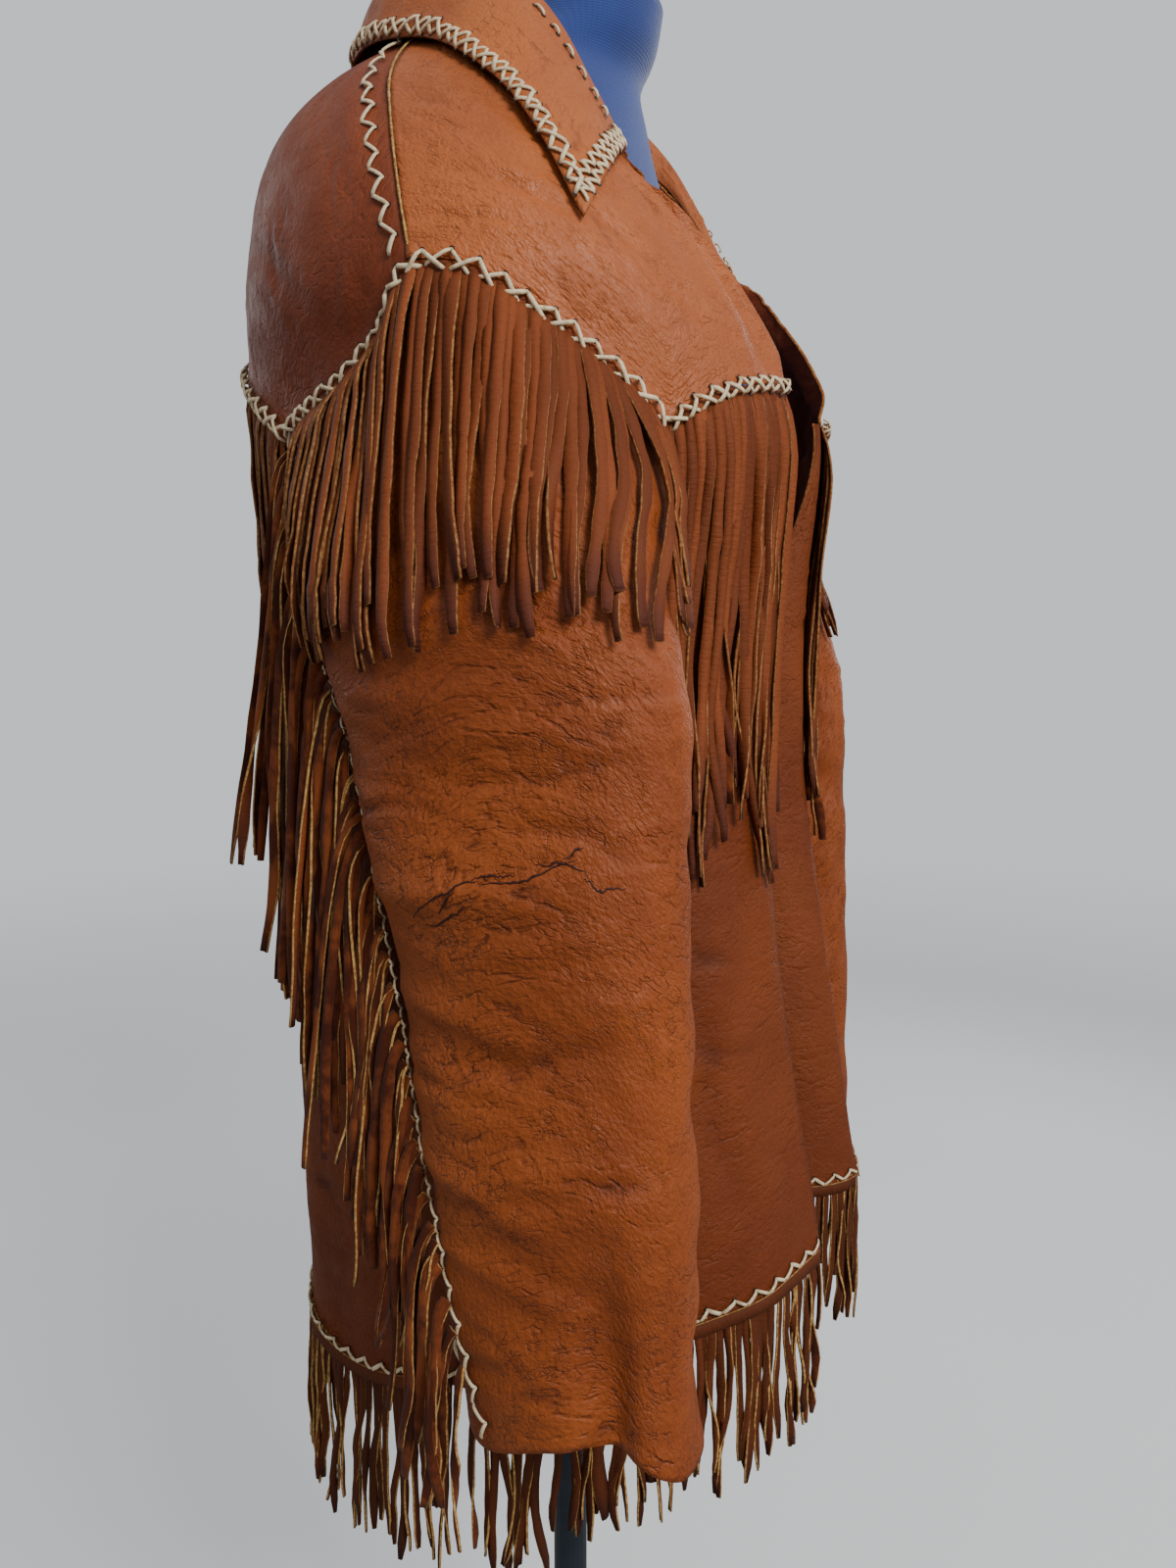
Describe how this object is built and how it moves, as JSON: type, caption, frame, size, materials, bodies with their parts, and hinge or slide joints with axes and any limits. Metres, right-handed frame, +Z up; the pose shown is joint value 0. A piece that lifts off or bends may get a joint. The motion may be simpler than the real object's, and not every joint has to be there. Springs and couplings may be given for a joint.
{
  "type": "fringed, hand-laced buckskin jacket on a limbless dress form with a pole stand",
  "caption": "Open-fronted buckskin jacket with long fringe at yokes, sleeves and hem, laced seams and a fold-over collar, on a limbless dress form with a pole and a round base.",
  "frame": {"origin": "centre of the underside of the stand's round base, on the floor", "axes": "+Z up along the pole, -Y towards the front of the jacket, +X towards the wearer's left"},
  "size_m": [0.5836, 0.4057, 1.4583],
  "materials": {
    "buckskin": "soft matte suede-like grain, orange brown",
    "yoke_buckskin": "soft matte grain, a little redder and darker",
    "fringe_buckskin": "matte, wrinkled across, with paler cut edges",
    "form_cloth": "matte knit",
    "cap_plastic": "satin",
    "stand_steel": "satin dark grey"
  },
  "bodies": {
    "root": {"front_right": "buckskin", "yoke_front_right": "yoke_buckskin", "sleeve_right": "buckskin", "fringe_cap_right": "fringe_buckskin", "fringe_chest_right": "fringe_buckskin", "fringe_arm_right": "fringe_buckskin", "fringe_hem_right": "fringe_buckskin", "front_left": "buckskin", "yoke_front_left": "yoke_buckskin", "sleeve_left": "buckskin", "fringe_cap_left": "fringe_buckskin", "fringe_chest_left": "fringe_buckskin", "fringe_arm_left": "fringe_buckskin", "fringe_hem_left": "fringe_buckskin", "back": "buckskin", "yoke_back": "yoke_buckskin", "collar": "buckskin", "fringe_back_yoke": "fringe_buckskin", "fringe_hem_back": "fringe_buckskin", "form_torso": "form_cloth", "form_neck_cap": "cap_plastic", "stand_pole": "stand_steel", "stand_base": "stand_steel"}
  },
  "joints": []
}
